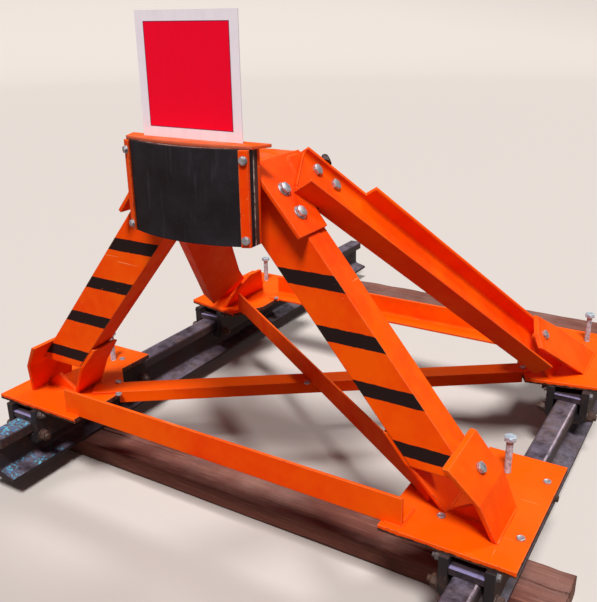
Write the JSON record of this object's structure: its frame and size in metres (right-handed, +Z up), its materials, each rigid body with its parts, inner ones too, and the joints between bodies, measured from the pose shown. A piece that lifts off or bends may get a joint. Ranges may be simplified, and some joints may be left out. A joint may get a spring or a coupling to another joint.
{
  "type": "railway buffer stop",
  "caption": "Sliding railway buffer stop: a braced frame clamped to a short track panel, with a curved rubber-faced head and a square stop board.",
  "frame": {"origin": "centre of the track panel at ground level, under the sleepers", "axes": "+X across the track, +Y along it away from the oncoming train, +Z up"},
  "size_m": [1.89, 2.5, 1.461],
  "materials": {
    "orange_paint": "satin orange paint with scuffs and dust",
    "clamp_black": "black paint",
    "rail_steel": "dark mill scale with rust",
    "timber": "weathered brown timber",
    "bright_steel": "zinc plated",
    "bare_steel": "sheared steel edge, dusty",
    "black_rubber": "matt black",
    "brown_rubber": "matt brown, dusty",
    "sign_red": "red reflective field in a white border"
  },
  "bodies": {
    "track": {"rail_left": "rail_steel", "rail_right": "rail_steel", "sleeper_front": "timber", "sleeper_rear": "timber"},
    "buffer_frame": {"base_plate_front_left": "orange_paint", "base_plate_front_right": "orange_paint", "base_plate_rear_left": "orange_paint", "base_plate_rear_right": "orange_paint", "brace_lower": "orange_paint", "brace_upper": "orange_paint", "clamp_screw_front_left": "bright_steel", "clamp_screw_front_right": "bright_steel", "clamp_screw_rear_left": "bright_steel", "clamp_screw_rear_right": "bright_steel", "clamping_strips": "orange_paint", "cross_beam_front": "orange_paint", "cross_beam_rear": "orange_paint", "face_plate": "orange_paint", "foot_bracket_front_left": "orange_paint", "foot_bracket_front_right": "orange_paint", "foot_bracket_rear_left": "orange_paint", "foot_bracket_rear_right": "orange_paint", "friction_bar_front_left": "bright_steel", "friction_bar_front_right": "bright_steel", "friction_bar_rear_left": "bright_steel", "friction_bar_rear_right": "bright_steel", "front_leg_left": "orange_paint", "front_leg_right": "orange_paint", "front_leg_stiffener_left": "orange_paint", "front_leg_stiffener_right": "orange_paint", "head_box": "orange_paint", "head_cheek_left": "orange_paint", "head_cheek_right": "orange_paint", "head_top_plate": "orange_paint", "rail_clamp_front_left": "clamp_black", "rail_clamp_front_right": "clamp_black", "rail_clamp_rear_left": "clamp_black", "rail_clamp_rear_right": "clamp_black", "rear_leg_left": "orange_paint", "rear_leg_right": "orange_paint", "rubber_backing": "brown_rubber", "rubber_pad": "black_rubber", "sign_board": "sign_red", "sign_bracket": "orange_paint", "steel_liner": "bare_steel"}
  },
  "joints": [
    {"name": "rail_slide", "type": "slide", "parent": "track", "child": "buffer_frame", "axis": [0, 1, 0], "range_m": [0, 0.8]}
  ]
}
